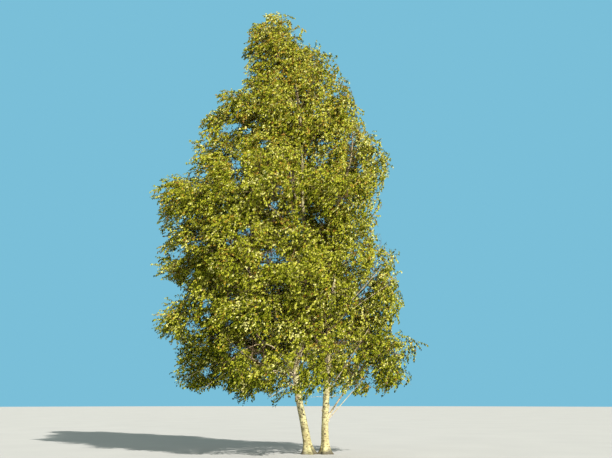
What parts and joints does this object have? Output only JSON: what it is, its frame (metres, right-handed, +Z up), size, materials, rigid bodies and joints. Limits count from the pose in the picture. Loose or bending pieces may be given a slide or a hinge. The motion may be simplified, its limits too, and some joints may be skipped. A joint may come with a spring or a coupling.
{
  "type": "paper birch tree",
  "caption": "Whole pale-barked tree of two stems from one root, with tapering boughs and drooping leafy masses.",
  "frame": {"origin": "middle of the flat cut under the left stem, at ground level", "axes": "+Z up, +X to the right and +Y away from someone who looks at the front"},
  "size_m": [8.369, 7.0932, 13.9496],
  "materials": {
    "stem_bark": "pale papery bark with dark marks",
    "bough_bark": "grey-brown bark",
    "leaves": "olive green leaves"
  },
  "bodies": {
    "root": {"left_stem": "stem_bark", "right_stem": "stem_bark", "tier1_back_left_bough": "bough_bark", "tier1_back_left_leaves": "leaves", "tier1_back_right_bough": "bough_bark", "tier1_back_right_leaves": "leaves", "tier1_front_left_bough": "bough_bark", "tier1_front_left_leaves": "leaves", "tier1_front_right_bough": "bough_bark", "tier1_front_right_leaves": "leaves", "tier1_left_bough": "bough_bark", "tier1_left_leaves": "leaves", "tier1_right_bough": "bough_bark", "tier1_right_leaves": "leaves", "tier2_back_bough": "bough_bark", "tier2_back_leaves": "leaves", "tier2_back_left_bough": "bough_bark", "tier2_back_left_leaves": "leaves", "tier2_front_left_bough": "bough_bark", "tier2_front_left_leaves": "leaves", "tier2_front_right_bough": "bough_bark", "tier2_front_right_leaves": "leaves", "tier2_left_bough": "bough_bark", "tier2_left_leaves": "leaves", "tier2_right_bough": "bough_bark", "tier2_right_leaves": "leaves", "tier3_back_bough": "bough_bark", "tier3_back_leaves": "leaves", "tier3_back_right_bough": "bough_bark", "tier3_back_right_leaves": "leaves", "tier3_front_left_bough": "bough_bark", "tier3_front_left_leaves": "leaves", "tier3_front_right_bough": "bough_bark", "tier3_front_right_leaves": "leaves", "tier3_left_bough": "bough_bark", "tier3_left_leaves": "leaves", "tier3_right_bough": "bough_bark", "tier3_right_leaves": "leaves", "tier4_back_bough": "bough_bark", "tier4_back_leaves": "leaves", "tier4_back_right_bough": "bough_bark", "tier4_back_right_leaves": "leaves", "tier4_front_bough": "bough_bark", "tier4_front_leaves": "leaves", "tier4_front_right_bough": "bough_bark", "tier4_front_right_leaves": "leaves", "tier4_left_bough": "bough_bark", "tier4_left_leaves": "leaves", "tier5_back_leaves": "leaves", "tier5_front_leaves": "leaves", "tier5_left_leaves": "leaves", "tier5_right_leaves": "leaves", "tier6_back_leaves": "leaves", "tier6_front_leaves": "leaves", "tier6_left_leaves": "leaves", "tier6_right_leaves": "leaves", "top_left_leaves": "leaves", "top_right_leaves": "leaves"}
  },
  "joints": []
}
